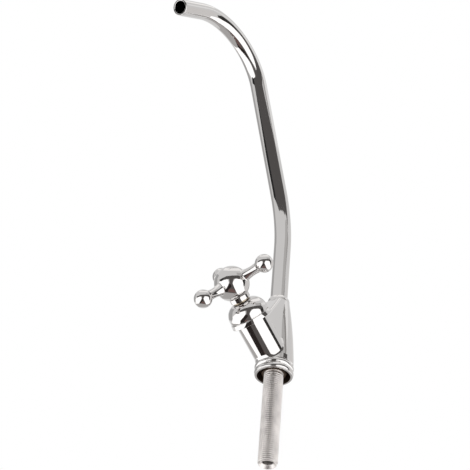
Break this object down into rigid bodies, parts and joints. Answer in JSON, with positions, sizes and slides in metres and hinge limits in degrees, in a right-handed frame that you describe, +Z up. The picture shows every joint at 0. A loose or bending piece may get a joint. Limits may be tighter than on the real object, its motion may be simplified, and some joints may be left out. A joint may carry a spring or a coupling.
{
  "type": "water filter faucet",
  "caption": "Deck-mounted drinking water faucet with a tall bent swivel spout, a leaning quarter-turn disc valve with a ball-ended cross handle, and a threaded shank.",
  "frame": {"origin": "centre of the foot's lower face, on the deck surface and on the axis of the shank, column and spout swivel", "axes": "+Z up the column; -Y the side to which the spout and the valve lean; X across, with X = 0 the plane of the column and the valve barrel"},
  "size_m": [0.048, 0.1198, 0.276],
  "materials": {
    "polished_chrome": "bright chrome plate on cast and drawn brass",
    "shank_nickel": "dull nickel plate on a cut thread",
    "raw_brass": "turned brass",
    "seal_rubber": "black nitrile rubber",
    "disc_ceramic": "lapped alumina",
    "bearing_plastic": "natural acetal",
    "spring_steel": "bright spring steel"
  },
  "bodies": {
    "faucet_body": {"body": "polished_chrome", "threaded_shank": "shank_nickel", "shank_seal": "seal_rubber", "spout_clip": "bearing_plastic", "bonnet": "polished_chrome", "headwork_housing": "raw_brass", "headwork_o_ring": "seal_rubber", "thrust_washer": "bearing_plastic", "fixed_disc": "disc_ceramic", "seat_seal": "seal_rubber"},
    "spout": {"spout_tube": "polished_chrome", "spout_insert": "bearing_plastic", "spout_o_ring_lower": "seal_rubber", "spout_o_ring_upper": "seal_rubber"},
    "valve_spindle": {"handle": "polished_chrome", "handle_screw": "spring_steel", "stem": "raw_brass", "stem_o_ring_lower": "seal_rubber", "stem_o_ring_upper": "seal_rubber", "moving_disc": "disc_ceramic", "stem_circlip": "spring_steel"}
  },
  "joints": [
    {"name": "spout_swivel", "type": "hinge", "parent": "faucet_body", "child": "spout", "pos_m": [0, 0, 0.046], "axis": [0, 0, 1], "continuous": true},
    {"name": "handle_turn", "type": "hinge", "parent": "faucet_body", "child": "valve_spindle", "pos_m": [0, -0.02427, 0.02763], "axis": [0, -0.809, 0.5878], "range_deg": [0, 90]}
  ]
}
